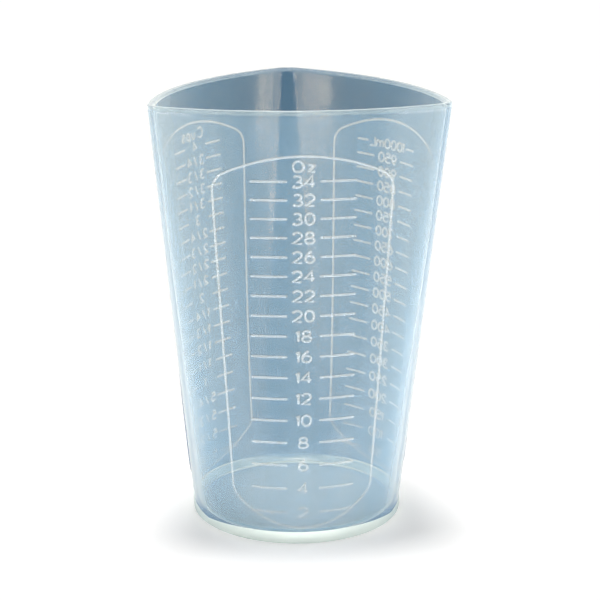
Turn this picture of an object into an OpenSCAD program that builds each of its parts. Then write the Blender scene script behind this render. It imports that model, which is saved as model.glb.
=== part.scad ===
// Resin mixing cup, about one litre, moulded in one shot.
// The wall runs from a round foot to a mouth with three soft pour corners.
// Marks on the three sides stand at true fill heights, worked out from the inside volume.
// The foot stands on z = 0 and the cup's axis is x = y = 0.
// The ounce side faces -Y and one pour corner points to +Y.
// All lengths are millimetres.

/* [Cup body] */
// overall height, foot to rim
cup_h = 175.4; // [168:0.2:184]
// outside radius of the round foot
foot_r = 43.5; // [41:0.1:46]
// mouth, from the axis to the middle of a side
side_reach = 49.2; // [47:0.1:51.5]
// mouth, from the axis to the tip of a pour corner
corner_reach = 65.8; // [62:0.1:69]
// mouth, outside radius of a pour corner
corner_r = 8.6; // [7:0.1:11]
// wall thickness
wall_t = 2.0; // [1.4:0.1:2.6]

/* [Rim] */
// height of the thickened lip
lip_h = 1.6; // [1.2:0.1:3]
// extra thickness of the lip, on the inside
lip_extra = 0.6; // [0.2:0.1:1.2]
// rounding of the lip's upper edges
lip_round = 0.6; // [0.3:0.1:0.7]

/* [Floor and foot] */
// thickness of the flat floor
floor_t = 2.8; // [2:0.1:3.4]
// radius of the inside fillet between floor and wall
fillet_r = 2.6; // [1.6:0.1:3]
// bevel on the foot's lower outside edge
foot_bevel = 0.4; // [0.2:0.1:0.8]

/* [Raised marks] */
// height of every raised line above the wall
mark_raise = 0.4; // [0.3:0.05:0.6]
// width of a raised line
line_w = 0.9; // [0.6:0.1:1.3]
// clear height between the outline's arched top and the highest mark
mark_headroom = 8; // [6:0.5:14]
// gap between a panel's middle and its marks
mark_gap = 6.2; // [5:0.1:8]
// length of an ounce mark
ounce_mark_len = 14; // [8:0.5:16]
// length of a cup mark and of a millilitre mark
metric_mark_len = 10.2; // [6:0.2:14]

/* [Panel outline] */
// distance from the rim down to the outline's arched top
rim_gap = 16.4; // [12:0.2:24]
// distance from the foot's upper edge up to the outline's rounded bottom
foot_gap = 1.2; // [0.6:0.2:6]
// half width between the outline's straight sides, at the top
panel_half_top = 35.5; // [30:0.5:37]
// half width between the outline's straight sides, at the bottom
panel_half_bottom = 27; // [22:0.5:29]
// radius of the arched top
panel_arch_r = 70; // [55:1:90]
// radius of the rounded bottom
panel_bowl_r = 34; // [31:0.5:45]
// radius of the outline's shoulders
panel_shoulder_r = 8; // [4:0.5:12]

/* [Hidden] */
$fn = 96;
plastic = [0.78, 0.86, 0.9];
raised = [0.9, 0.94, 0.96];
side_steps = 12;
corner_steps = 10;
ounce_ml = 29.5735;
metric_cup_ml = 250;
ounce_side = -90;
cups_side = 150;
millilitre_side = 30;
// the wall is a loft from the foot's circle to the mouth
wall_z = floor_t + fillet_r;
wall_h = cup_h - wall_z;
lip_z = cup_h - lip_h;
panel_top = cup_h - rim_gap;
panel_bottom = wall_z + foot_gap;
highest_mark = panel_top - mark_headroom;
// the mouth is six arcs: three flat ones for the sides, three tight ones for the corners
corner_mid = corner_reach - corner_r;
side_flat = side_reach - corner_r;
side_back = (corner_mid * corner_mid - side_flat * side_flat) / (2 * side_flat - corner_mid);
side_r = side_reach + side_back;
side_turn = atan2(corner_mid * sin(60), corner_mid * cos(60) + side_back);
corner_turn = 60 - side_turn;

// Mouth, measured for the fill volume

rad = PI / 180;
side_area = side_r * side_r * side_turn * rad - side_r * side_back * sin(side_turn);
corner_area = corner_r * corner_r * corner_turn * rad + corner_r * corner_mid * sin(corner_turn);
mouth_area = 3 * (side_area + corner_area);
mouth_edge = 6 * rad * (side_r * side_turn + corner_r * corner_turn);
well_r = foot_r - wall_t;
well_ml = (PI * well_r * well_r * fillet_r
  - 2 * PI * (well_r - 0.223 * fillet_r) * (1 - PI / 4) * fillet_r * fillet_r) / 1000;

// share of the way up the loft
function share(z) = (z - wall_z) / wall_h;

// inside volume in millilitres from the floor up to share s of the loft
function loft_ml(s) = wall_h / 1000 * (
  mouth_area * pow(s, 3) / 3
  + mouth_edge * (well_r * pow(s, 2) / 2 - foot_r * pow(s, 3) / 3)
  + PI * (pow(well_r, 2) * s - well_r * foot_r * pow(s, 2) + pow(foot_r, 2) * pow(s, 3) / 3));

// height at which the cup holds ml, found by halving
function fill_z(ml, low = 0, high = 1, left = 22) =
  left == 0 ? wall_z + (low + high) / 2 * wall_h
  : well_ml + loft_ml((low + high) / 2) < ml ? fill_z(ml, (low + high) / 2, high, left - 1)
  : fill_z(ml, low, (low + high) / 2, left - 1);

// heights of all marks that stand one step of ml apart
function mark_heights(step_ml) =
  [for (i = [1 : 40]) if (fill_z(i * step_ml) < highest_mark) fill_z(i * step_ml)];

// point of the wall whose outward normal turns by angle from a side's middle
function side_point(side, turn, s, out) =
  let (r = s * side_r + (1 - s) * foot_r + out)
  [r * cos(side + turn) - s * side_back * cos(side), r * sin(side + turn) - s * side_back * sin(side)];

// point of a pour corner
function corner_point(side, turn, s, out) =
  let (r = s * corner_r + (1 - s) * foot_r + out)
  [r * cos(side + turn) + s * corner_mid * cos(side), r * sin(side + turn) + s * corner_mid * sin(side)];

// closed outline of the wall at height z, grown outward by out
function wall_outline(z, out) = [
  for (k = [0 : 2]) each concat(
    [for (i = [0 : side_steps])
      side_point(30 + 120 * k, side_turn * (2 * i / side_steps - 1), share(z), out)],
    [for (i = [1 : corner_steps - 1])
      corner_point(90 + 120 * k, corner_turn * (2 * i / corner_steps - 1), share(z), out)])];

// sweeps a closed profile of [height, outward offset] points round the lofted wall,
// the points running up the outside and down the inside
module swept_wall(profile) {
  n = len(wall_outline(wall_z, 0));
  m = len(profile);
  points = [for (p = profile) for (q = wall_outline(p[0], p[1])) [q[0], q[1], p[0]]];
  faces = [for (j = [0 : m - 1]) for (i = [0 : n - 1])
    [j * n + i, ((j + 1) % m) * n + i, ((j + 1) % m) * n + (i + 1) % n, j * n + (i + 1) % n]];
  polyhedron(points, faces, convexity = 6);
}

// thin skin over the wall, as thick as the marks are raised
module mark_skin() {
  swept_wall([[wall_z, mark_raise], [lip_z, mark_raise], [lip_z, 0], [wall_z, 0]]);
}

// stands a flat drawing (across, up) against one side and keeps what lies in the skin
module raised_on(side) {
  intersection() {
    mark_skin();
    rotate([0, 0, side + 90])
      rotate([90, 0, 0])
        linear_extrude(height = corner_reach)
          children();
  }
}

// Flat drawings for one side

// a disc with everything on one side of its centre, up or down, kept whole
module arc_end(r, centre_z, way) {
  translate([0, centre_z])
    circle(r = r);
  translate([-cup_h, way > 0 ? centre_z : centre_z - cup_h])
    square([2 * cup_h, cup_h]);
}

module panel_field() {
  intersection() {
    arc_end(panel_arch_r, panel_top - panel_arch_r, -1);
    arc_end(panel_bowl_r, panel_bottom + panel_bowl_r, 1);
    polygon([
      [-panel_half_bottom, panel_bottom],
      [panel_half_bottom, panel_bottom],
      [panel_half_top, panel_top],
      [-panel_half_top, panel_top]]);
  }
}

module panel_line() {
  difference() {
    offset(r = panel_shoulder_r)
      offset(delta = -panel_shoulder_r)
        panel_field();
    offset(r = panel_shoulder_r - line_w)
      offset(delta = -panel_shoulder_r)
        panel_field();
  }
}

module mark_pair(height, length) {
  for (way = [-1, 1])
    translate([way * (mark_gap + length / 2), height])
      square([length, line_w], center = true);
}

module mark_ladder(step_ml, length) {
  for (height = mark_heights(step_ml))
    mark_pair(height, length);
}

// Cup

module cup_wall() {
  color(plastic)
    swept_wall([[wall_z, 0], [lip_z, 0], [lip_z, -wall_t], [wall_z, -wall_t]]);
}

module rim_lip() {
  inner = -wall_t - lip_extra;
  turn_z = cup_h - lip_round;
  outer_turn = [for (a = [0 : 30 : 90])
    [turn_z + lip_round * sin(a), lip_round * (cos(a) - 1)]];
  inner_turn = [for (a = [90 : -30 : 0])
    [turn_z + lip_round * sin(a), inner + lip_round * (1 - cos(a))]];
  color(plastic)
    swept_wall(concat([[lip_z, 0]], outer_turn, inner_turn,
      [[lip_z + lip_extra / 2, inner], [lip_z, -wall_t]]));
}

module cup_floor() {
  color(plastic)
    rotate_extrude()
      difference() {
        square([well_r, wall_z]);
        translate([-1, floor_t])
          square([well_r - fillet_r + 1, fillet_r + 1]);
        translate([well_r - fillet_r, wall_z])
          circle(r = fillet_r);
      }
}

module foot_ring() {
  color(plastic)
    rotate_extrude()
      polygon([
        [well_r, 0],
        [foot_r - foot_bevel, 0],
        [foot_r, foot_bevel],
        [foot_r, wall_z],
        [well_r, wall_z]]);
}

// Ounce side

module ounce_outline() {
  color(raised)
    raised_on(ounce_side)
      panel_line();
}

module ounce_marks() {
  color(raised)
    raised_on(ounce_side)
      mark_ladder(2 * ounce_ml, ounce_mark_len);
}

// Cup side, in fifths of a metric cup

module cups_outline() {
  color(raised)
    raised_on(cups_side)
      panel_line();
}

module cups_marks() {
  color(raised)
    raised_on(cups_side)
      mark_ladder(metric_cup_ml / 5, metric_mark_len);
}

// Millilitre side

module millilitre_outline() {
  color(raised)
    raised_on(millilitre_side)
      panel_line();
}

module millilitre_marks() {
  color(raised)
    raised_on(millilitre_side)
      mark_ladder(50, metric_mark_len);
}

cup_wall();
cup_floor();
foot_ring();
rim_lip();
ounce_outline();
ounce_marks();
cups_outline();
cups_marks();
millilitre_outline();
millilitre_marks();
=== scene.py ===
"""Looks of the resin mixing cup: one translucent moulding with three raised fill scales."""

import logging
import math
from dataclasses import dataclass
from enum import Enum
from typing import Callable, Iterable, Optional, Sequence

import bpy
from mathutils import Matrix, Vector


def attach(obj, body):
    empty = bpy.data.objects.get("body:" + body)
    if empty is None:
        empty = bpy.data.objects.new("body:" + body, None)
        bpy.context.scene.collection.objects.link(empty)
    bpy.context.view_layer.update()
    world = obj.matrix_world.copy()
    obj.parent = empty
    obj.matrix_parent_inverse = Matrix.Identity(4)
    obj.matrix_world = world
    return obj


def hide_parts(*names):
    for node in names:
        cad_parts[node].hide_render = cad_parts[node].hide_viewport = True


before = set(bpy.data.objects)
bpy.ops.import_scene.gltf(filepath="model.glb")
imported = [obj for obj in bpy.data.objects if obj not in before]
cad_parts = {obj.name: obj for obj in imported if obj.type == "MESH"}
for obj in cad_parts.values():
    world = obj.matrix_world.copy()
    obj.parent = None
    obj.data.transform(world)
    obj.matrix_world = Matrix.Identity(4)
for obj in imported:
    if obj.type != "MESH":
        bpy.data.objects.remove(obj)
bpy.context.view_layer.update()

MM = 0.001
OUNCE_ML = 29.5735
# the cup looks the same after a third of a turn; directions in degrees
THIRD = 120
FIRST_SIDE = 30
FIRST_CORNER = 90
# distance from both walls to the middle of the corner that a fillet fills, as a share of its radius
FILLET_CENTRE = 0.223
HALVINGS = 30
MM3_PER_ML = 1000
TINY = 1e-6
log = logging.getLogger("mixing cup")

Flat = tuple[float, float]
Stroke = list[Flat]


class Side(Enum):
    """The three sides of the cup, by the direction in degrees that each one faces."""

    OUNCES = -90.0
    CUPS = 150.0
    MILLILITRES = 30.0


class Region(Enum):
    """Parts of the moulding that look different, in the order of its material slots."""

    WALL = 0
    INSIDE = 1
    LIP = 2
    FOOT = 3
    FLOOR = 4
    FILLET = 5


# Colour and nodes


def per(size: float) -> float:
    """Turns a pattern's size in millimetres into a texture scale per metre."""
    return 1 / (size * MM)


def linear(code: str) -> tuple[float, float, float, float]:
    """Turns an sRGB hex colour into the linear colour that shaders take.

    Args:
        code: six hex digits, with or without a leading #.

    Returns:
        Red, green, blue and an alpha of 1.
    """
    digits = code.lstrip("#")
    channels = [int(digits[i:i + 2], 16) / 255 for i in (0, 2, 4)]
    red, green, blue = [c / 12.92 if c <= 0.04045 else ((c + 0.055) / 1.055) ** 2.4 for c in channels]
    return red, green, blue, 1.0


def add_node(tree: bpy.types.NodeTree, kind: str, settings: Optional[dict] = None,
             **inputs: object) -> bpy.types.Node:
    """Adds one shader node, with its settings and its inputs.

    Args:
        tree: the node tree that gets the node.
        kind: the node's type name.
        settings: properties of the node itself.
        inputs: values or output sockets by input name, with _ for a blank, or i0, i1 for a number.

    Returns:
        The new node.
    """
    node = tree.nodes.new(kind)
    for name, value in (settings or {}).items():
        setattr(node, name, value)
    for name, value in inputs.items():
        number = name[1:].isdigit() and name[0] == "i"
        socket = node.inputs[int(name[1:]) if number else name.replace("_", " ")]
        if isinstance(value, bpy.types.NodeSocket):
            tree.links.new(value, socket)
        else:
            socket.default_value = value
    return node


# Shape of the cup


@dataclass(frozen=True)
class CupShape:
    """Sizes of the moulding in millimetres, and the loft from the round foot to the mouth."""

    height: float = 175.4
    foot_r: float = 43.5
    side_reach: float = 49.2
    corner_reach: float = 65.8
    corner_r: float = 8.6
    wall: float = 2.0
    lip_height: float = 1.6
    lip_extra: float = 0.6
    lip_round: float = 0.6
    floor: float = 2.8
    fillet: float = 2.6
    foot_bevel: float = 0.4

    @property
    def wall_z(self) -> float:
        """Height at which the loft starts."""
        return self.floor + self.fillet

    @property
    def wall_h(self) -> float:
        """Height of the loft."""
        return self.height - self.wall_z

    @property
    def lip_z(self) -> float:
        """Height of the lip's lower edge."""
        return self.height - self.lip_height

    @property
    def corner_mid(self) -> float:
        """Distance from the axis to the centre of a corner's arc."""
        return self.corner_reach - self.corner_r

    @property
    def side_back(self) -> float:
        """Distance from the axis back to the centre of a side's flat arc."""
        flat = self.side_reach - self.corner_r
        return (self.corner_mid ** 2 - flat ** 2) / (2 * flat - self.corner_mid)

    @property
    def side_r(self) -> float:
        """Radius of a side's flat arc at the mouth."""
        return self.side_reach + self.side_back

    @property
    def side_turn(self) -> float:
        """Half angle of a side's arc in degrees."""
        mid = self.corner_mid
        return math.degrees(math.atan2(mid * math.sin(math.pi / 3), mid / 2 + self.side_back))

    @property
    def corner_turn(self) -> float:
        """Half angle of a corner's arc in degrees."""
        return THIRD / 2 - self.side_turn

    def share(self, z: float) -> float:
        """Gives the share of the way up the loft at height z, 0 at the foot."""
        return max(0.0, (z - self.wall_z) / self.wall_h)

    def nearest(self, turn: float) -> tuple[float, float, float]:
        """Finds the arc of the mouth that faces one way.

        Args:
            turn: the direction of the outward normal in degrees.

        Returns:
            The arc's middle direction in degrees, its radius, and its centre's distance from the axis.
        """
        side = FIRST_SIDE + THIRD * round((turn - FIRST_SIDE) / THIRD)
        if abs(turn - side) <= self.side_turn + TINY:
            return side, self.side_r, -self.side_back
        return FIRST_CORNER + THIRD * round((turn - FIRST_CORNER) / THIRD), self.corner_r, self.corner_mid

    def point(self, turn: float, z: float, out: float = 0.0) -> Vector:
        """Gives the point of the wall that faces one way at one height.

        Args:
            turn: the direction of the outward normal in degrees.
            z: height in millimetres.
            out: distance outside the wall's outer face.

        Returns:
            The point in millimetres.
        """
        middle, radius, reach = self.nearest(turn)
        s = self.share(z)
        r = s * radius + (1 - s) * self.foot_r + out
        a, m = math.radians(turn), math.radians(middle)
        out_x, out_y = r * math.cos(a), r * math.sin(a)
        return Vector((out_x + s * reach * math.cos(m), out_y + s * reach * math.sin(m), z))

    def normal(self, turn: float) -> Vector:
        """Gives the wall's outward normal where it faces one way.

        Args:
            turn: the direction in degrees.

        Returns:
            The normal, of length 1.
        """
        middle, radius, reach = self.nearest(turn)
        a = math.radians(turn)
        lean = (radius + reach * math.cos(math.radians(turn - middle)) - self.foot_r) / self.wall_h
        return Vector((math.cos(a), math.sin(a), -lean)).normalized()

    def turn_at(self, side: Side, across: float, z: float) -> float:
        """Finds the direction in which the wall faces at a place on one side.

        Args:
            side: the side of the cup.
            across: millimetres to the right of the side's middle, seen from outside.
            z: height in millimetres.

        Returns:
            The direction in degrees.
        """
        s = self.share(z)
        side_r = s * self.side_r + (1 - s) * self.foot_r
        limit = side_r * math.sin(math.radians(self.side_turn))
        if abs(across) <= limit:
            return side.value + math.degrees(math.asin(across / side_r))
        corner_r = s * self.corner_r + (1 - s) * self.foot_r
        rest = abs(across) - s * self.corner_mid * math.sin(math.pi / 3)
        return side.value + math.copysign(math.degrees(math.asin(min(1.0, rest / corner_r))), across)

    def on_side(self, side: Side, across: float, z: float) -> tuple[Vector, Vector]:
        """Gives a point of the wall and its outward normal, from a place on one side's flat drawing."""
        turn = self.turn_at(side, across, z)
        return self.point(turn, z), self.normal(turn)

    def held(self, z: float) -> float:
        """Works out how much the cup holds up to a height, in millilitres.

        Args:
            z: height in millimetres, above the fillet.

        Returns:
            The inside volume below that height.
        """
        s = (z - self.wall_z) / self.wall_h
        side, corner = math.radians(self.side_turn), math.radians(self.corner_turn)
        side_area = self.side_r ** 2 * side - self.side_r * self.side_back * math.sin(side)
        corner_area = self.corner_r ** 2 * corner + self.corner_r * self.corner_mid * math.sin(corner)
        area = 3 * (side_area + corner_area)
        edge = 6 * (self.side_r * side + self.corner_r * corner)
        well, foot, turn = self.foot_r - self.wall, self.foot_r, self.fillet
        corner_ring = 2 * math.pi * (well - FILLET_CENTRE * turn) * (1 - math.pi / 4) * turn ** 2
        low = math.pi * well ** 2 * turn - corner_ring
        loft = self.wall_h * (
            area * s ** 3 / 3
            + edge * (well * s ** 2 / 2 - foot * s ** 3 / 3)
            + math.pi * (well ** 2 * s - well * foot * s ** 2 + foot ** 2 * s ** 3 / 3))
        return (low + loft) / MM3_PER_ML

    def fill_z(self, amount: float) -> float:
        """Finds the height at which the cup holds an amount, by halving.

        Args:
            amount: millilitres.

        Returns:
            The height in millimetres.
        """
        low, high = self.wall_z, self.height
        for _ in range(HALVINGS):
            middle = (low + high) / 2
            low, high = (middle, high) if self.held(middle) < amount else (low, middle)
        return (low + high) / 2


# Meshes


class Shell:
    """Collects points and faces in millimetres and turns them into one smooth mesh piece."""

    def __init__(self, name: str) -> None:
        """Starts an empty piece with its name."""
        self.name = name
        self.points: list[Vector] = []
        self.faces: list[tuple[int, ...]] = []
        self.regions: list[int] = []

    def ring(self, points: Iterable[Vector]) -> list[int]:
        """Adds points to the piece.

        Args:
            points: the points in order.

        Returns:
            Their numbers.
        """
        first = len(self.points)
        self.points.extend(points)
        return list(range(first, len(self.points)))

    def join(self, low: Sequence[int], high: Sequence[int], region: int = 0,
             last: Optional[int] = None) -> None:
        """Joins two rings of the same length by a closed band of four-sided faces.

        Args:
            low: point numbers of one ring.
            high: point numbers of the next ring.
            region: material slot of the band.
            last: material slot of the face that closes the band, if it's another one.
        """
        n = len(low)
        for i in range(n):
            k = (i + 1) % n
            self.faces.append((low[i], low[k], high[k], high[i]))
            self.regions.append(region)
        if last is not None:
            self.regions[-1] = last

    def fan(self, ring: Sequence[int], centre: int, region: int = 0) -> None:
        """Closes a ring with triangles to one centre point.

        Args:
            ring: point numbers of the ring.
            centre: the centre's point number.
            region: material slot of the triangles.
        """
        n = len(ring)
        for i in range(n):
            self.faces.append((ring[i], ring[(i + 1) % n], centre))
            self.regions.append(region)

    def finished(self, materials: Sequence[bpy.types.Material],
                 stands_for: Sequence[str] = ()) -> bpy.types.Object:
        """Makes the object, rides it on the cup and hides the CAD parts that it stands for.

        Args:
            materials: materials in slot order.
            stands_for: CAD nodes that the piece replaces.

        Returns:
            The finished object.
        """
        mesh = bpy.data.meshes.new(self.name)
        mesh.from_pydata([tuple(p * MM) for p in self.points], [], self.faces)
        mesh.polygons.foreach_set("material_index", self.regions)
        mesh.polygons.foreach_set("use_smooth", [True] * len(self.faces))
        for material in materials:
            mesh.materials.append(material)
        mesh.validate()
        mesh.update()
        piece = bpy.data.objects.new(self.name, mesh)
        bpy.context.scene.collection.objects.link(piece)
        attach(piece, "root")
        if stands_for:
            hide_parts(*stands_for)
        log.info("%s: %d points, %d faces", self.name, len(self.points), len(self.faces))
        return piece


@dataclass(frozen=True)
class Moulding:
    """The cup itself in one skin: foot, wall, lip, inside, floor and underside."""

    shape: CupShape
    side_steps: int = 40
    corner_steps: int = 28
    wall_rows: int = 14
    band_high: float = 5.1
    band_low: float = 3.0
    band_curve: float = 2.6
    ledge: float = 0.16
    ledge_start: float = 0.1
    ledge_end: float = 4.0
    lip_groove: float = 0.1
    groove_tall: float = 0.3
    groove_edge: float = 0.25
    # height above the fillet of the upper painted highlight line
    bright_line: float = 0.5

    # the foot band's upper edge turns in like this, as rise, outward offset and what is above
    BAND_EDGE = ((-0.25, 0.0, Region.FOOT), (-0.06, -0.03, Region.FOOT), (0.0, -0.1, Region.WALL))
    BAND_STEP = 0.12
    # a place on the way up from the ledge, as shares of the rise and of the ledge's depth
    LEDGE_RISE, LEDGE_LEFT = 0.3, 0.6
    # directions in degrees of the rows round the bevel, round the lip's edges and down the fillet
    BEVEL_TURNS = (0, 30, 60, 90)
    LIP_TURNS = tuple(range(0, 91, 18))
    FILLET_TURNS = (0, 15, 30, 45, 60)
    # below this direction the fillet's last strip is the lower painted highlight line
    FILLET_END = 76
    # rings of the flat discs, as shares of their radius
    DISC_RINGS = (0.3, 0.6, 0.85)

    def turns(self) -> list[float]:
        """Lists the columns of points round the cup.

        Returns:
            The direction in degrees that each column faces.
        """
        side, corner = self.shape.side_turn, self.shape.corner_turn
        found: list[float] = []
        for k in range(3):
            found += [FIRST_SIDE + THIRD * k + side * (2 * i / self.side_steps - 1)
                      for i in range(self.side_steps)]
            found += [FIRST_CORNER + THIRD * k + corner * (2 * i / self.corner_steps - 1)
                      for i in range(self.corner_steps)]
        return found

    def band_top(self, turn: float) -> float:
        """Gives the height of the foot band, a crescent high on a side's middle and low on a corner."""
        off = 2 * abs(turn - FIRST_SIDE - THIRD * round((turn - FIRST_SIDE) / THIRD)) / THIRD
        return self.band_low + (self.band_high - self.band_low) * (1 - off ** self.band_curve)

    def profile(self) -> list[tuple[Callable[[float], Flat], Region]]:
        """Lists the rows of the skin from the underside's edge round to the inside's floor.

        Returns:
            For each row a function of the direction that gives height and outward offset, and the region
            above the row.
        """
        s = self.shape
        rows: list[tuple[Callable[[float], Flat], Region]] = []

        def level(z: float, out: float, region: Region) -> None:
            """Adds a row at one height."""
            rows.append((lambda turn, z=z, out=out: (z, out), region))

        for a in self.BEVEL_TURNS:
            turn_in = s.foot_bevel * (math.sin(math.radians(a)) - 1)
            level(s.foot_bevel * (1 - math.cos(math.radians(a))), turn_in, Region.FOOT)
        for rise, out, region in self.BAND_EDGE + ((self.BAND_STEP, -self.ledge, Region.WALL),):
            rows.append((lambda turn, rise=rise, out=out: (self.band_top(turn) + rise, out), region))
        level(s.wall_z + self.ledge_start, -self.ledge, Region.WALL)
        level(s.wall_z + self.LEDGE_RISE * self.ledge_end, -self.LEDGE_LEFT * self.ledge, Region.WALL)
        level(s.wall_z + self.ledge_end, 0.0, Region.WALL)
        rise = s.lip_z - 2 * self.groove_tall - s.wall_z - self.ledge_end
        for i in range(1, self.wall_rows):
            level(s.wall_z + self.ledge_end + rise * i / self.wall_rows, 0.0, Region.WALL)
        # short rows beside the groove keep its shading off the long wall
        level(s.lip_z - 3 * self.groove_tall, 0.0, Region.WALL)
        level(s.lip_z - self.groove_edge - self.groove_tall, 0.0, Region.WALL)
        level(s.lip_z - self.groove_tall, -self.lip_groove, Region.WALL)
        level(s.lip_z, -self.lip_groove, Region.LIP)
        level(s.lip_z + self.groove_tall / 2, 0.0, Region.LIP)
        top = s.height - s.lip_round
        inner = -s.wall - s.lip_extra
        for a in self.LIP_TURNS:
            level(top + s.lip_round * math.sin(math.radians(a)),
                  s.lip_round * (math.cos(math.radians(a)) - 1), Region.LIP)
        for a in self.LIP_TURNS[::-1]:
            level(top + s.lip_round * math.sin(math.radians(a)),
                  inner + s.lip_round * (1 - math.cos(math.radians(a))), Region.LIP)
        level(s.lip_z + s.lip_extra / 2, inner, Region.LIP)
        level(s.lip_z, -s.wall, Region.INSIDE)
        level(s.lip_z - self.groove_tall, -s.wall, Region.INSIDE)
        for i in range(1, self.wall_rows):
            level(s.lip_z + (s.wall_z - s.lip_z) * i / self.wall_rows, -s.wall, Region.INSIDE)
        # the fillet's two ends get the pale lip finish, painted highlights for the thin bright lines where
        # they catch the light
        level(s.wall_z + self.bright_line, -s.wall, Region.LIP)
        for a, region in [(a, Region.FILLET) for a in self.FILLET_TURNS] + [(self.FILLET_END, Region.LIP),
                                                                            (90, Region.FLOOR)]:
            level(s.wall_z - s.fillet * math.sin(math.radians(a)),
                  -s.wall - s.fillet * (1 - math.cos(math.radians(a))), region)
        return rows

    def build(self, materials: Sequence[bpy.types.Material]) -> bpy.types.Object:
        """Builds the moulding.

        Args:
            materials: one material for each region, in order.

        Returns:
            The cup's body.
        """
        s = self.shape
        shell = Shell("cup_body")
        turns = self.turns()
        under = shell.ring([Vector((0, 0, 0))])[0]
        rings: list[tuple[list[int], Region]] = []
        for share in self.DISC_RINGS:
            radius = (s.foot_r - s.foot_bevel) * share
            rings.append((shell.ring(self.circle(turns, radius, 0.0)), Region.FLOOR))
        for place, region in self.profile():
            rings.append((shell.ring(s.point(turn, *place(turn)) for turn in turns), region))
        for share in self.DISC_RINGS[::-1]:
            radius = (s.foot_r - s.wall - s.fillet) * share
            rings.append((shell.ring(self.circle(turns, radius, s.floor)), Region.FLOOR))
        middle = shell.ring([Vector((0, 0, s.floor))])[0]
        shell.fan(rings[0][0][::-1], under, Region.FLOOR.value)
        for (low, region), (high, _) in zip(rings, rings[1:]):
            shell.join(low, high, region.value)
        shell.fan(rings[-1][0], middle, Region.FLOOR.value)
        return shell.finished(materials,
                              ("cup_wall", "cup_floor", "foot_ring", "rim_lip"))

    @staticmethod
    def circle(turns: Sequence[float], radius: float, z: float) -> list[Vector]:
        """Gives a circle's points at the given directions."""
        return [Vector((radius * math.cos(t), radius * math.sin(t), z)) for t in map(math.radians, turns)]


# Raised lines


def arc(x: float, y: float, rx: float, ry: float, start: float, end: float, steps: int = 14) -> Stroke:
    """Gives the points of part of an oval.

    Args:
        x: centre, across.
        y: centre, up.
        rx: half width.
        ry: half height.
        start: first angle in degrees.
        end: last angle in degrees.
        steps: number of steps along it.

    Returns:
        The points in order.
    """
    turns = [math.radians(start + (end - start) * i / steps) for i in range(steps + 1)]
    return [(x + rx * math.cos(t), y + ry * math.sin(t)) for t in turns]


@dataclass(frozen=True)
class Bead:
    """A half-round raised line that lies on one side of the cup."""

    shape: CupShape
    side: Side
    width: float = 0.9
    height: float = 0.4
    sunk: float = 0.12

    # the right half of the rounded back, as shares of the half width and of the height
    ROUND = ((0.28, 1.0), (0.72, 0.76), (1.0, 0.32))
    # directions in degrees of the stops round an end, and the size of its last one
    END_TURNS = (0, 35, 62, 82)
    TIP = 0.12
    LONGEST_MITRE = 1.7

    def section(self, size: float) -> list[Flat]:
        """Gives the bead's cross-section.

        Args:
            size: share of its full size.

        Returns:
            Points across and up, from the left foot over the back to the right foot.
        """
        half = self.width / 2 * size
        right = [(half * x, self.height * size * y) for x, y in self.ROUND] + [(half, -self.sunk)]
        return [(-x, y) for x, y in right[::-1]] + right

    def lay(self, shell: Shell, path: Stroke, closed: bool = False) -> None:
        """Sweeps the bead along a path.

        Args:
            shell: the piece that gets it.
            path: places across and up on the side's flat drawing.
            closed: whether the path's end joins its start.
        """
        half = self.width / 2
        stops = [(p, 1.0) for p in path]
        if not closed:
            start, end = self.rounded(path[0], path[1], half), self.rounded(path[-1], path[-2], half)
            stops = start[::-1] + stops[1:-1] + end
        n = len(stops)
        rings: list[list[int]] = []
        for i, (place, size) in enumerate(stops):
            before = stops[(i - 1) % n][0] if closed or i > 0 else place
            after = stops[(i + 1) % n][0] if closed or i < n - 1 else place
            spot, normal = self.shape.on_side(self.side, *place)
            ahead = self.shape.on_side(self.side, *after)[0] - self.shape.on_side(self.side, *before)[0]
            across = ahead.cross(normal).normalized() * self.mitre(before, place, after)
            rings.append(shell.ring(spot + across * w + normal * h for w, h in self.section(size)))
        for low, high in zip(rings, rings[1:] + (rings[:1] if closed else [])):
            shell.join(high, low, last=1)
        if not closed:
            shell.faces += [tuple(rings[0]), tuple(rings[-1][::-1])]
            shell.regions += [0, 0]

    @classmethod
    def rounded(cls, end: Flat, inner: Flat, half: float) -> list[tuple[Flat, float]]:
        """Gives the stops of a rounded end.

        Args:
            end: the path's end.
            inner: the path's next point.
            half: half the bead's width.

        Returns:
            Places and sizes, from the full width out to the tip.
        """
        way = Vector((end[0] - inner[0], end[1] - inner[1])).normalized()
        stops = []
        for a in cls.END_TURNS:
            reach = half * (math.sin(math.radians(a)) - 1)
            place = (end[0] + way.x * reach, end[1] + way.y * reach)
            stops.append((place, max(cls.TIP, math.cos(math.radians(a)))))
        return stops

    @classmethod
    def mitre(cls, before: Flat, place: Flat, after: Flat) -> float:
        """Gives how much wider the bead is cut at a bend, so that its width stays the same.

        Args:
            before: the path's last place.
            place: the bend.
            after: the path's next place.

        Returns:
            The factor, 1 on a straight stretch.
        """
        a = Vector((place[0] - before[0], place[1] - before[1]))
        b = Vector((after[0] - place[0], after[1] - place[1]))
        if a.length < TINY or b.length < TINY:
            return 1.0
        return 1 / max(1 / cls.LONGEST_MITRE, math.cos(a.angle(b) / 2))


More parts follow.
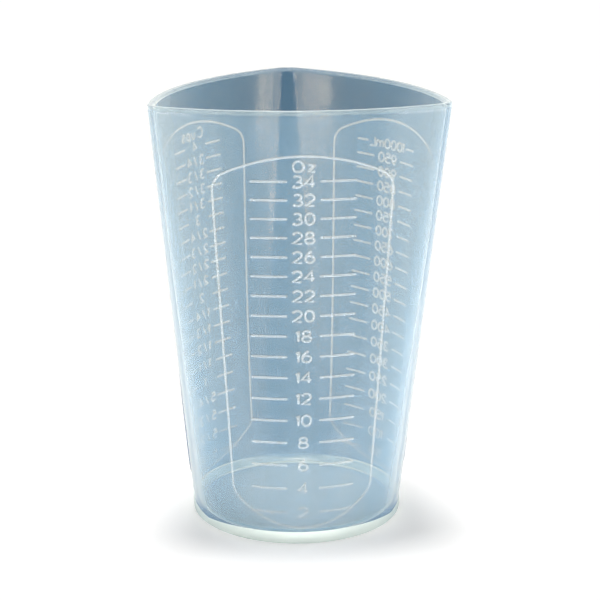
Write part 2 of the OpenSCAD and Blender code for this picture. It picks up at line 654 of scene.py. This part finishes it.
class Numerals:
    """Plain rounded numerals and letters, each drawn with single strokes one unit high."""

    def __init__(self) -> None:
        """Draws every character once."""
        six = [arc(0.37, 0.31, 0.35, 0.31, 90, 450, 20), arc(0.62, 0.3, 0.6, 0.7, 180, 97, 10)]
        self.drawn: dict[str, tuple[float, list[Stroke]]] = {
            "0": (0.74, [arc(0.37, 0.5, 0.36, 0.5, 0, 360, 24)]),
            "1": (0.26, [[(0.0, 0.78), (0.22, 1.0), (0.22, 0.0)]]),
            "2": (0.72, [arc(0.36, 0.68, 0.34, 0.32, 168, -28, 14) + [(0.0, 0.0), (0.72, 0.0)]]),
            "3": (0.72, [arc(0.34, 0.75, 0.3, 0.25, 155, -90, 12)[:-1]
                         + arc(0.34, 0.26, 0.37, 0.26, 90, -155, 14)]),
            "4": (0.78, [[(0.56, 0.0), (0.56, 1.0), (0.0, 0.3), (0.78, 0.3)]]),
            "5": (0.72, [[(0.66, 1.0), (0.14, 1.0), (0.06, 0.52)]
                         + arc(0.34, 0.32, 0.37, 0.32, 125, -150, 14)]),
            "6": (0.74, six),
            "7": (0.7, [[(0.0, 1.0), (0.7, 1.0), (0.22, 0.0)]]),
            "8": (0.74, [arc(0.37, 0.76, 0.29, 0.24, -90, 270, 18),
                         arc(0.37, 0.26, 0.36, 0.26, 90, 450, 20)]),
            "9": (0.74, [[(0.74 - x, 1.0 - y) for x, y in stroke] for stroke in six]),
            "/": (0.56, [[(0.0, -0.04), (0.56, 1.04)]]),
            "O": (0.86, [arc(0.43, 0.5, 0.43, 0.5, 0, 360, 24)]),
            "z": (0.5, [[(0.0, 0.68), (0.5, 0.68), (0.0, 0.0), (0.52, 0.0)]]),
            "C": (0.8, [arc(0.43, 0.5, 0.43, 0.5, 42, 318, 18)]),
            "u": (0.5, [[(0.0, 0.68), (0.0, 0.24)] + arc(0.25, 0.24, 0.25, 0.24, 180, 360, 10)[1:]
                        + [(0.5, 0.68)]]),
            "p": (0.52, [[(0.0, 0.68), (0.0, -0.28)], arc(0.27, 0.34, 0.27, 0.34, 90, 450, 16)]),
            "s": (0.44, [arc(0.22, 0.5, 0.2, 0.17, 40, 240, 9)[:-1]
                         + arc(0.22, 0.17, 0.22, 0.17, 60, -140, 9)]),
            "m": (0.96, [[(0.0, 0.68), (0.0, 0.0)], arc(0.24, 0.46, 0.24, 0.22, 180, 0, 8) + [(0.48, 0.0)],
                         arc(0.72, 0.46, 0.24, 0.22, 180, 0, 8) + [(0.96, 0.0)]]),
            "L": (0.7, [[(0.0, 1.0), (0.0, 0.0), (0.7, 0.0)]]),
        }

    def width(self, text: str, tall: float, stretch: float, gap: float) -> float:
        """Gives a line's width between the middles of its outer strokes."""
        return sum(self.drawn[c][0] * tall * stretch for c in text) + gap * (len(text) - 1)

    def strokes(self, text: str, tall: float, middle: Flat, stretch: float, gap: float) -> list[Stroke]:
        """Sets a line of text round a point.

        Args:
            text: the characters.
            tall: height of a numeral between the middles of its strokes.
            middle: the line's centre, across and up.
            stretch: width of the characters as a share of their drawn width.
            gap: distance between the strokes of neighbours.

        Returns:
            Strokes in millimetres on the side's flat drawing.
        """
        x = middle[0] - self.width(text, tall, stretch, gap) / 2
        found: list[Stroke] = []
        for c in text:
            wide, drawn = self.drawn[c]
            for stroke in drawn:
                found.append([(x + px * tall * stretch, middle[1] + (py - 0.5) * tall) for px, py in stroke])
            x += wide * tall * stretch + gap
        return found


@dataclass(frozen=True)
class Panel:
    """The outline round one scale: an arched top, leaning sides and a rounded bottom."""

    shape: CupShape
    rim_gap: float = 16.4
    foot_gap: float = 1.2
    half_top: float = 35.5
    half_bottom: float = 27.0
    arch_r: float = 70.0
    bowl_r: float = 34.0
    shoulder_r: float = 8.0
    line: float = 0.9

    # trial places for a shoulder's centre, and steps of a straight side, which follows the wall's curve
    TRIALS = 4000
    SIDE_STEPS = 40

    @property
    def top(self) -> float:
        """Height of the arched top."""
        return self.shape.height - self.rim_gap

    @property
    def bottom(self) -> float:
        """Height of the rounded bottom."""
        return self.shape.wall_z + self.foot_gap

    def path(self) -> Stroke:
        """Draws the outline.

        Returns:
            The middle of its line as one closed path.
        """
        lean = math.atan2(self.half_top - self.half_bottom, self.top - self.bottom)
        arch_z, bowl_z = self.top - self.arch_r, self.bottom + self.bowl_r
        half = self.line / 2

        def shoulder(centre_z: float, reach: float, way: int) -> Flat:
            """Finds where a shoulder's arc touches the side line and the top or bottom arc.

            Args:
                centre_z: height of the top or bottom arc's centre.
                reach: distance from there to the shoulder's centre.
                way: 1 for up, -1 for down.

            Returns:
                The shoulder's centre, across and up.
            """
            spots = []
            for i in range(self.TRIALS + 1):
                z = centre_z + way * reach * i / self.TRIALS
                x = self.half_bottom + (z - self.bottom) * math.tan(lean) - self.shoulder_r / math.cos(lean)
                spots.append((abs(math.hypot(x, z - centre_z) - reach), x, z))
            return min(spots)[1:]

        top = shoulder(arch_z, self.arch_r - self.shoulder_r, 1)
        low = shoulder(bowl_z, self.bowl_r - self.shoulder_r, -1)
        a = math.degrees(math.atan2(top[1] - arch_z, top[0]))
        b = math.degrees(math.atan2(low[1] - bowl_z, low[0]))
        side = -math.degrees(lean)
        r = self.shoulder_r - half
        right = arc(0, arch_z, self.arch_r - half, self.arch_r - half, 90, a, 18)
        right += arc(*top, r, r, a, side, 8)[1:]
        last = arc(*low, r, r, side, b, 8)
        (x, z), (last_x, last_z) = right[-1], last[0]
        right += [(x + (last_x - x) * i / self.SIDE_STEPS, z + (last_z - z) * i / self.SIDE_STEPS)
                  for i in range(1, self.SIDE_STEPS)]
        right += last + arc(0, bowl_z, self.bowl_r - half, self.bowl_r - half, b, -90, 16)[1:]
        return right + [(-x, z) for x, z in right[-2:0:-1]]


@dataclass(frozen=True)
class Scale:
    """One side's outline, marks and labels."""

    shape: CupShape
    side: Side
    name: str
    step_ml: float
    steps: int
    mark_length: float
    labels: tuple[str, ...]
    tall: float
    stretch: float
    gap: float
    heading: str = ""
    heading_tall: float = 4.2
    heading_place: Flat = (0.0, 154.7)
    heading_stretch: float = 1.15
    middle: float = 0.0
    mark_gap: float = 6.2
    line: float = 0.9
    pen_share: float = 0.95

    # stretches of one mark, which follows the wall's curve
    STRETCHES = 6

    def height(self, step: int) -> float:
        """Gives the height of one mark."""
        return self.shape.fill_z(self.step_ml * step)

    def build(self, materials: Sequence[bpy.types.Material], pen: Numerals) -> None:
        """Builds the outline, the marks and the labels as three pieces.

        Args:
            materials: the raised lines' surface and core.
            pen: the characters.
        """
        bead = Bead(self.shape, self.side, self.line)
        outline = Shell(f"{self.name}_outline_bead")
        bead.lay(outline, Panel(self.shape, line=self.line).path(), closed=True)
        outline.finished(materials, (f"{self.name}_outline",))
        marks = Shell(f"{self.name}_mark_beads")
        thin = Bead(self.shape, self.side, self.pen_share * self.line)
        text = Shell(f"{self.name}_numerals")
        strokes = pen.strokes(self.heading, self.heading_tall, self.heading_place, self.heading_stretch,
                              2 * self.line)
        far = self.mark_gap + self.mark_length
        for step, label in zip(range(self.steps, 0, -1), self.labels):
            z = self.height(step)
            strokes += pen.strokes(label, self.tall, (self.middle, z), self.stretch, self.gap)
            # a long label shortens the marks beside it
            near = max(self.mark_gap, pen.width(label, self.tall, self.stretch, self.gap) / 2 + self.line)
            for way in (-1, 1):
                bead.lay(marks, [(self.middle + way * (near + (far - near) * i / self.STRETCHES), z)
                                 for i in range(self.STRETCHES + 1)])
        marks.finished(materials, (f"{self.name}_marks",))
        for stroke in strokes:
            ends_meet = math.dist(stroke[0], stroke[-1]) < TINY
            thin.lay(text, stroke[:-1] if ends_meet else stroke, closed=ends_meet)
        text.finished(materials)


# Finishes


@dataclass(frozen=True)
class Plastic:
    """One surface of the translucent plastic, by what the eye sees on it.

    haze is the milky colour straight on and edge the one along the surface, tint colours the clear part,
    cover and edge_cover are the milky shares, and through is the share that lets light in from behind.
    relief and fade are millimetres.
    """

    name: str
    haze: str
    edge: str
    tint: str
    cover: float
    edge_cover: float
    rough: float
    through: float = 0.45
    mottle: float = 0.03
    flow: float = 0.04
    relief: float = 0.005
    gloss_rough: float = 0.18
    fade: float = 0.0

    IOR = 1.49
    DUST_COVER = 0.25
    # a speck's inner and outer edge, as shares of its cell, and the share of cells without one
    SPECK = (0.035, 0.06)
    CLEAN = 0.8
    # powers by which the milky cover and the reflection grow towards a grazing look
    MILKY_GROWTH = 2.6
    GLOSS_GROWTH = 5.0
    # where a streak starts to pale and is palest, by the noise, and how pale it gets
    STREAK = (0.35, 0.75)
    STREAK_PALE = 0.25
    RIPPLE_STRENGTH = 0.3
    # how much the roughness wanders to each side
    UNEVEN = 0.08
    # lines fade from the height of fade down to this share of it, to this share of their milkiness
    FADED_AT = 0.35
    FADED = 0.55

    def patterns(self, tree: bpy.types.NodeTree) -> dict[str, bpy.types.NodeSocket]:
        """Adds the patterns of the moulded surface.

        Args:
            tree: the material's nodes.

        Returns:
            The place on the cup, the streaks, clouds, ripple and dust, by name.
        """
        place = add_node(tree, "ShaderNodeTexCoord").outputs["Object"]
        # pale streaks where the plastic ran up the wall from the foot, about 14 mm wide and 200 mm long
        run = add_node(tree, "ShaderNodeMapping", Vector=place, Scale=(per(14.3), per(14.3), per(200)))
        streaks = add_node(tree, "ShaderNodeTexNoise", Vector=run.outputs["Vector"], Scale=1.0, Detail=2.0,
                           Roughness=0.5)
        # cloudy spots of about 5 mm from uneven cooling
        clouds = add_node(tree, "ShaderNodeTexNoise", Vector=place, Scale=per(5), Detail=0.0, Roughness=0.5)
        # slow ripples of the mould's polish, about 4 mm
        ripple = add_node(tree, "ShaderNodeTexNoise", Vector=place, Scale=per(4.17), Detail=1.0,
                          Roughness=0.4)
        # dust specks under half a millimetre, one in every few cells of 7 mm
        dots = add_node(tree, "ShaderNodeTexVoronoi", Vector=place, Scale=per(7.14))
        speck = add_node(tree, "ShaderNodeMapRange", Value=dots.outputs["Distance"], From_Min=self.SPECK[0],
                         From_Max=self.SPECK[1], To_Min=1.0, To_Max=0.0).outputs["Result"]
        rare = add_node(tree, "ShaderNodeMath", {"operation": "GREATER_THAN"}, i0=dots.outputs["Color"],
                        i1=self.CLEAN)
        dust = add_node(tree, "ShaderNodeMath", {"operation": "MULTIPLY"}, i0=speck, i1=rare.outputs[0])
        return {"place": place, "streaks": streaks.outputs["Fac"], "clouds": clouds.outputs["Fac"],
                "ripple": ripple.outputs["Fac"], "dust": dust.outputs[0]}

    def milkiness(self, tree: bpy.types.NodeTree, seen: dict[str, bpy.types.NodeSocket],
                  steep: bpy.types.NodeSocket) -> bpy.types.NodeSocket:
        """Works out how much of the surface looks milky and not clear.

        Args:
            tree: the material's nodes.
            seen: the patterns, by name.
            steep: 0 where one looks straight at the surface and 1 along it.

        Returns:
            The milky share.
        """
        cover = add_node(tree, "ShaderNodeMapRange", Value=steep, To_Min=self.cover, To_Max=self.edge_cover)
        total = cover.outputs["Result"]
        for name, amount, middle in (("streaks", self.flow, 0.5), ("clouds", self.mottle, 0.5),
                                     ("dust", self.DUST_COVER, 0.0)):
            part = add_node(tree, "ShaderNodeMath", {"operation": "MULTIPLY_ADD"}, i0=seen[name], i1=amount,
                            i2=-middle * amount)
            total = add_node(tree, "ShaderNodeMath", {"operation": "ADD", "use_clamp": True}, i0=total,
                             i1=part.outputs[0]).outputs[0]
        if not self.fade:
            return total
        # the lowest lines are shallow and hardly show
        height = add_node(tree, "ShaderNodeSeparateXYZ", Vector=seen["place"]).outputs["Z"]
        kept = add_node(tree, "ShaderNodeMapRange", Value=height, From_Min=self.FADED_AT * self.fade * MM,
                        From_Max=self.fade * MM, To_Min=self.FADED, To_Max=1.0).outputs["Result"]
        return add_node(tree, "ShaderNodeMath", {"operation": "MULTIPLY"}, i0=total, i1=kept).outputs[0]

    def make(self) -> bpy.types.Material:
        """Builds the material: a clear tinted part, and a milky part that grows towards the edges.

        Returns:
            The material.
        """
        material = bpy.data.materials.new(self.name)
        material.use_nodes = True
        tree = material.node_tree
        tree.nodes.clear()
        seen = self.patterns(tree)
        graze = add_node(tree, "ShaderNodeLayerWeight", Blend=0.5).outputs["Facing"]
        steep = add_node(tree, "ShaderNodeMath", {"operation": "POWER"}, i0=graze,
                         i1=self.MILKY_GROWTH).outputs[0]
        total = self.milkiness(tree, seen, steep)
        pale = add_node(tree, "ShaderNodeMapRange", Value=seen["streaks"], From_Min=self.STREAK[0],
                        From_Max=self.STREAK[1], To_Min=0.0, To_Max=self.STREAK_PALE).outputs["Result"]
        blend = add_node(tree, "ShaderNodeMath", {"operation": "MAXIMUM"}, i0=steep, i1=pale).outputs[0]
        colour = add_node(tree, "ShaderNodeMix", {"data_type": "RGBA"}, i0=blend, i6=linear(self.haze),
                          i7=linear(self.edge)).outputs[2]
        rough = add_node(tree, "ShaderNodeMapRange", Value=seen["clouds"], To_Min=self.rough - self.UNEVEN,
                         To_Max=self.rough + self.UNEVEN).outputs["Result"]
        wave = add_node(tree, "ShaderNodeBump", Height=seen["ripple"], Strength=self.RIPPLE_STRENGTH,
                        Distance=self.relief * MM).outputs["Normal"]
        face = add_node(tree, "ShaderNodeBsdfPrincipled", Base_Color=colour, Roughness=rough, IOR=self.IOR,
                        Normal=wave)
        back = add_node(tree, "ShaderNodeBsdfTranslucent", Color=colour, Normal=wave)
        milky = add_node(tree, "ShaderNodeMixShader", Fac=self.through, i1=face.outputs[0],
                         i2=back.outputs[0])
        glass = add_node(tree, "ShaderNodeBsdfTransparent", Color=linear(self.tint))
        shine = add_node(tree, "ShaderNodeBsdfGlossy", Roughness=self.gloss_rough, Normal=wave)
        # the reflection of that IOR, 4 % straight on and full at grazing, the same from both sides
        slope = add_node(tree, "ShaderNodeMath", {"operation": "POWER"}, i0=graze,
                         i1=self.GLOSS_GROWTH).outputs[0]
        straight_on = ((self.IOR - 1) / (self.IOR + 1)) ** 2
        bright = add_node(tree, "ShaderNodeMapRange", Value=slope, To_Min=straight_on, To_Max=1.0)
        clear = add_node(tree, "ShaderNodeMixShader", Fac=bright.outputs["Result"], i1=glass.outputs[0],
                         i2=shine.outputs[0])
        both = add_node(tree, "ShaderNodeMixShader", Fac=total, i1=clear.outputs[0], i2=milky.outputs[0])
        add_node(tree, "ShaderNodeOutputMaterial", Surface=both.outputs[0])
        return material


# The outside looks satin and whitish, and shows the far side dimly
WALL = Plastic("injection_moulded_natural_polypropylene_outside", "AED8FA", "D2DCDD", "FCF4E8", 0.16, 0.62,
               0.34, through=0.05)
# The inside is glossier, off the mould's polished core, and looks dusty blue
INSIDE = Plastic("injection_moulded_natural_polypropylene_inside", "59B2F3", "DCE8EE", "FCF4E8", 0.03, 0.7,
                 0.26, through=0.1, gloss_rough=0.12)
# The rim looks like a pale, nearly white line, because one looks along the plastic there
LIP = Plastic("moulded_polypropylene_rounded_lip", "B8CCD6", "F2F6F8", "F4F6F4", 0.25, 0.92, 0.3)
# The foot band looks milky white with a breath of green, and thins out to the sides
FOOT = Plastic("moulded_polypropylene_thick_foot", "EEF6EE", "CCDCDC", "EEF4EE", 0.88, 0.45, 0.36,
               through=0.2)
# The floor is clearer than the wall and looks deep blue
FLOOR = Plastic("moulded_polypropylene_floor", "78AED2", "DCE8EC", "F4F2EC", 0.05, 0.7, 0.32, mottle=0.08)
# The fillet round the floor is milky like thick plastic, and its dusky blue is painted shade in the floor's
# inner corner
FILLET = Plastic("moulded_polypropylene_floor_fillet_painted_shade", "7098B6", "DCE8EC", "E8F0F4", 0.55, 0.75, 0.32)
# Raised lines are clear on their round backs, where they catch the light
MARKS = Plastic("moulded_polypropylene_raised_lines", "EEF6FC", "F4FAFC", "FAFAFA", 0.13, 0.45, 0.3,
                through=0.5, fade=38.0)
# Their thick cores scatter the light from behind and look white against it
CORES = Plastic("moulded_polypropylene_thick_lines", "EEF6FC", "F4FAFC", "FAFAFA", 0.34, 0.5, 0.4,
                through=0.85, fade=38.0)


# Studio


@dataclass(frozen=True)
class SoftBox:
    """A flat lamp that stands on the table's level and faces the cup, with sizes in metres.

    turn is its place in degrees, from the camera's side round to the right. A box that is only for
    reflections lights nothing else.
    """

    name: str
    turn: float
    away: float
    low: float
    wide: float
    tall: float
    strength: float
    only_in_gloss: bool = False

    # height of the cup's middle, at which it aims
    AIM = 0.1

    def stand(self, off_the_table: bpy.types.Collection) -> None:
        """Stands the lamp in its place.

        Args:
            off_the_table: what the lamp doesn't light.
        """
        lamp = bpy.data.lights.new(self.name, "AREA")
        lamp.shape, lamp.size, lamp.size_y = "RECTANGLE", self.wide, self.tall
        lamp.energy = self.strength * math.pi * self.wide * self.tall
        box = bpy.data.objects.new(self.name, lamp)
        turn = math.radians(self.turn)
        box.location = (self.away * math.sin(turn), -self.away * math.cos(turn), self.low + self.tall / 2)
        box.rotation_mode = "QUATERNION"
        box.rotation_quaternion = (Vector((0, 0, self.AIM)) - box.location).to_track_quat("-Z", "Y")
        box.visible_camera = False
        box.visible_glossy = self.only_in_gloss
        box.visible_diffuse = not self.only_in_gloss
        box.light_linking.receiver_collection = off_the_table
        bpy.context.scene.collection.objects.link(box)


@dataclass(frozen=True)
class Studio:
    """A white table and soft lamps, in metres. Seen through the plastic, table and world show a painted dim
    blue shade in place of the lit stage.
    """

    floor_reach: float = 9.0
    glow: float = 0.44
    sky: float = 0.1
    sun: float = 2.1
    sun_angle: float = 10.0
    sun_way: tuple[float, float, float] = (0.02, -0.045, -1.0)
    bounce: float = 3.5
    bounce_wide: float = 1.3
    bounce_deep: float = 0.86
    bounce_away: float = 0.482
    # painted shade: the dim blue that table and world show through the plastic
    room: str = "306294"
    paper: str = "E4E6E8"
    shaded: str = "E6E6E8"
    felt: str = "1E2428"
    boxes: tuple[SoftBox, ...] = (
        SoftBox("left_soft_box", -61, 1.0, 0.01, 0.7, 0.26, 11.8),
        SoftBox("right_soft_box", 61, 1.0, 0.01, 0.7, 0.26, 13.0),
        SoftBox("left_back_box", -150, 1.2, 0.01, 0.8, 0.8, 3.2),
        SoftBox("right_back_box", 150, 1.2, 0.01, 0.8, 0.8, 3.2),
        SoftBox("left_strip_box", -61, 1.0, 0.06, 0.7, 0.2, 8.5, only_in_gloss=True),
        SoftBox("right_strip_box", 61, 1.0, 0.06, 0.7, 0.2, 9.5, only_in_gloss=True))
    # the dark card: its near edge and far edge on the table, and how high it stands beyond
    card_near: tuple[Flat, Flat] = ((-0.09, -0.13), (0.11, -0.13))
    card_far: tuple[Flat, Flat] = ((-0.5, -0.75), (0.62, -0.75))
    card_tall: float = 0.8

    FLOOR_CORNERS = 120

    def seen_straight(self, tree: bpy.types.NodeTree) -> tuple[bpy.types.NodeSocket, bpy.types.NodeSocket]:
        """Finds out what kind of look a ray is.

        Args:
            tree: the material's or world's nodes.

        Returns:
            A share that is 1 for a look straight at the stage, in a reflection or in glass, and
            one that is 1 for a look through the plastic.
        """
        path = add_node(tree, "ShaderNodeLightPath")
        direct = path.outputs["Is Camera Ray"]
        deep = add_node(tree, "ShaderNodeMath", {"operation": "GREATER_THAN"},
                        i0=path.outputs["Transparent Depth"], i1=0.5).outputs[0]
        through = add_node(tree, "ShaderNodeMath", {"operation": "MULTIPLY"}, i0=direct, i1=deep).outputs[0]
        straight = add_node(tree, "ShaderNodeMath", {"operation": "SUBTRACT", "use_clamp": True}, i0=direct,
                            i1=through).outputs[0]
        for kind in ("Is Glossy Ray", "Is Transmission Ray"):
            straight = add_node(tree, "ShaderNodeMath", {"operation": "MAXIMUM"}, i0=straight,
                                i1=path.outputs[kind]).outputs[0]
        return straight, through

    def make_floor(self) -> bpy.types.Object:
        """Lays a round white table top under the cup.

        Returns:
            The table top.
        """
        shell = bpy.data.meshes.new("table_top")
        turns = [math.tau * i / self.FLOOR_CORNERS for i in range(self.FLOOR_CORNERS)]
        edge = [(self.floor_reach * math.cos(t), self.floor_reach * math.sin(t), 0.0) for t in turns]
        shell.from_pydata(edge, [], [tuple(range(self.FLOOR_CORNERS))])
        top = bpy.data.objects.new("table_top", shell)
        top.location.z = -0.2 * MM
        bpy.context.scene.collection.objects.link(top)
        material = bpy.data.materials.new("matt_white_table")
        material.use_nodes = True
        tree = material.node_tree
        tree.nodes.clear()
        straight, through = self.seen_straight(tree)
        paper = add_node(tree, "ShaderNodeBsdfDiffuse", Color=linear(self.paper))
        shaded = add_node(tree, "ShaderNodeBsdfDiffuse", Color=linear(self.shaded))
        glow = add_node(tree, "ShaderNodeEmission", Color=(1, 1, 1, 1), Strength=self.glow)
        lit = add_node(tree, "ShaderNodeAddShader", i0=shaded.outputs[0], i1=glow.outputs[0])
        # painted shade: seen through the plastic, the white table glows a dim blue
        dim = add_node(tree, "ShaderNodeEmission", Color=linear(self.room), Strength=1.0)
        plain = add_node(tree, "ShaderNodeMixShader", Fac=through, i1=paper.outputs[0], i2=dim.outputs[0])
        seen = add_node(tree, "ShaderNodeMixShader", Fac=straight, i1=plain.outputs[0], i2=lit.outputs[0])
        add_node(tree, "ShaderNodeOutputMaterial", Surface=seen.outputs[0])
        shell.materials.append(material)
        return top

    def make_world(self) -> None:
        """Sets soft light from all round, with a white background."""
        world = bpy.data.worlds.new("studio_room")
        bpy.context.scene.world = world
        world.use_nodes = True
        tree = world.node_tree
        tree.nodes.clear()
        straight, through = self.seen_straight(tree)
        soft = add_node(tree, "ShaderNodeBackground", Color=linear("F4F8FC"), Strength=self.sky)
        # painted shade: seen through the plastic, the world is a dim blue
        dim = add_node(tree, "ShaderNodeBackground", Color=linear(self.room), Strength=1.0)
        white = add_node(tree, "ShaderNodeBackground", Color=(1, 1, 1, 1), Strength=1.0)
        plain = add_node(tree, "ShaderNodeMixShader", Fac=through, i1=soft.outputs[0], i2=dim.outputs[0])
        seen = add_node(tree, "ShaderNodeMixShader", Fac=straight, i1=plain.outputs[0], i2=white.outputs[0])
        add_node(tree, "ShaderNodeOutputWorld", Surface=seen.outputs[0])

    def make_lamps(self, table: bpy.types.Object) -> None:
        """Hangs a soft lamp overhead and stands the soft boxes, whose light is kept off the table.

        Args:
            table: the table top.
        """
        lamp = bpy.data.lights.new("overhead_light", "SUN")
        lamp.energy = self.sun
        lamp.angle = math.radians(self.sun_angle)
        lamp.color = linear("FFFBF4")[:3]
        sun = bpy.data.objects.new("overhead_light", lamp)
        sun.rotation_mode = "QUATERNION"
        sun.rotation_quaternion = Vector(self.sun_way).to_track_quat("-Z", "Y")
        bpy.context.scene.collection.objects.link(sun)
        off_the_table = bpy.data.collections.new("off_the_table")
        off_the_table.objects.link(table)
        off_the_table.collection_objects[0].light_linking.link_state = "EXCLUDE"
        for box in self.boxes:
            box.stand(off_the_table)
        # the light that a bright table throws up at the front of the cup
        sheet = bpy.data.lights.new("table_bounce", "AREA")
        sheet.shape, sheet.size, sheet.size_y = "RECTANGLE", self.bounce_wide, self.bounce_deep
        sheet.energy = self.bounce * math.pi * self.bounce_wide * self.bounce_deep
        laid = bpy.data.objects.new("table_bounce", sheet)
        laid.location, laid.rotation_euler = (0, -self.bounce_away, MM), (math.pi, 0, 0)
        laid.visible_camera = laid.visible_glossy = False
        bpy.context.scene.collection.objects.link(laid)

    def make_card(self) -> None:
        """Lays and stands a dark card on the camera's side, which the inside reflects as a dark stripe."""
        near, far = [(x, y, 0.0) for x, y in self.card_near], [(x, y, 0.0) for x, y in self.card_far]
        high = [(x, y, self.card_tall) for x, y in self.card_far]
        sheet = bpy.data.meshes.new("dark_card")
        sheet.from_pydata(near + far + high, [], [(0, 1, 3, 2), (2, 3, 5, 4)])
        card = bpy.data.objects.new("dark_card", sheet)
        bpy.context.scene.collection.objects.link(card)
        card.visible_camera = card.visible_diffuse = card.visible_shadow = False
        material = bpy.data.materials.new("dark_felt")
        material.use_nodes = True
        material.node_tree.nodes.clear()
        felt = add_node(material.node_tree, "ShaderNodeBsdfDiffuse", Color=linear(self.felt))
        add_node(material.node_tree, "ShaderNodeOutputMaterial", Surface=felt.outputs[0])
        sheet.materials.append(material)

    def build(self) -> None:
        """Sets up the world, the table, the lamps and the dark card."""
        self.make_world()
        self.make_lamps(self.make_floor())
        self.make_card()


@dataclass(frozen=True)
class Camera:
    """The photograph's camera, from the fit of the cup's outline, in millimetres and degrees."""

    lens: float = 99.4
    away: float = 653.2
    above: float = 278.8
    round_cup: float = 3.441
    aside: float = 0.1347
    tilt: float = -16.196
    roll: float = 0.0535

    def place(self) -> None:
        """Puts the camera in the scene."""
        data = bpy.data.cameras.new("camera")
        data.lens, data.sensor_width = self.lens, 36.0
        data.clip_start, data.clip_end = 0.01, 50.0
        camera = bpy.data.objects.new("camera", data)
        yaw, tilt, roll = [math.radians(v) for v in (self.aside, self.tilt, self.roll)]
        side, ahead = Vector((math.cos(yaw), -math.sin(yaw), 0)), Vector((math.sin(yaw), math.cos(yaw), 0))
        look = ahead * math.cos(tilt) + Vector((0, 0, math.sin(tilt)))
        rise = -ahead * math.sin(tilt) + Vector((0, 0, math.cos(tilt)))
        right = side * math.cos(roll) - rise * math.sin(roll)
        up = side * math.sin(roll) + rise * math.cos(roll)
        aim = Matrix((right, up, -look)).transposed().to_4x4()
        spot = Matrix.Translation(Vector((0, -self.away, self.above)) * MM)
        camera.matrix_world = Matrix.Rotation(math.radians(-self.round_cup), 4, "Z") @ spot @ aim
        bpy.context.scene.collection.objects.link(camera)
        bpy.context.scene.camera = camera


def fifths(top: int) -> tuple[str, ...]:
    """Lists the labels of a scale in fifths of a cup, as whole cups and fifths.

    Args:
        top: cups at the highest mark.

    Returns:
        The labels from the top down. Below one cup the first figure is a 5.
    """
    found = []
    for n in range(5 * top, 0, -1):
        whole, part = divmod(n, 5)
        found.append(f"{whole or 5}/{part}" if part else str(whole))
    return tuple(found)


def scales(shape: CupShape) -> list[Scale]:
    """Lists the three scales of the cup.

    Args:
        shape: the cup.

    Returns:
        The ounces, the cups and the millilitres.
    """
    return [
        Scale(shape, Side.OUNCES, "ounce", 2 * OUNCE_ML, 17, 14.0, tuple(str(n) for n in range(34, 0, -2)),
              tall=4.4, stretch=1.1, gap=1.15, heading="Oz", heading_tall=4.1),
        Scale(shape, Side.CUPS, "cups", 50.0, 20, 10.1, fifths(4), tall=3.8, stretch=1.0, gap=2.4,
              heading="Cups", heading_place=(-0.5, 153.8), middle=-2.4, mark_gap=8.0),
        Scale(shape, Side.MILLILITRES, "millilitre", 50.0, 20, 10.3,
              ("1000mL",) + tuple(str(n) for n in range(950, 0, -50)), tall=3.8, stretch=1.17, gap=1.0,
              middle=2.9, mark_gap=8.6),
    ]


def main() -> None:
    """Builds the studio, the cup and its scales."""
    logging.basicConfig(level=logging.INFO, format="%(message)s")
    bpy.context.scene.view_settings.view_transform = "Standard"
    bpy.context.scene.cycles.transparent_max_bounces = 32
    Camera().place()
    Studio().build()
    shape = CupShape()
    Moulding(shape).build([p.make() for p in (WALL, INSIDE, LIP, FOOT, FLOOR, FILLET)])
    marks, pen = [MARKS.make(), CORES.make()], Numerals()
    for scale in scales(shape):
        scale.build(marks, pen)


if __name__ == "__main__":
    main()
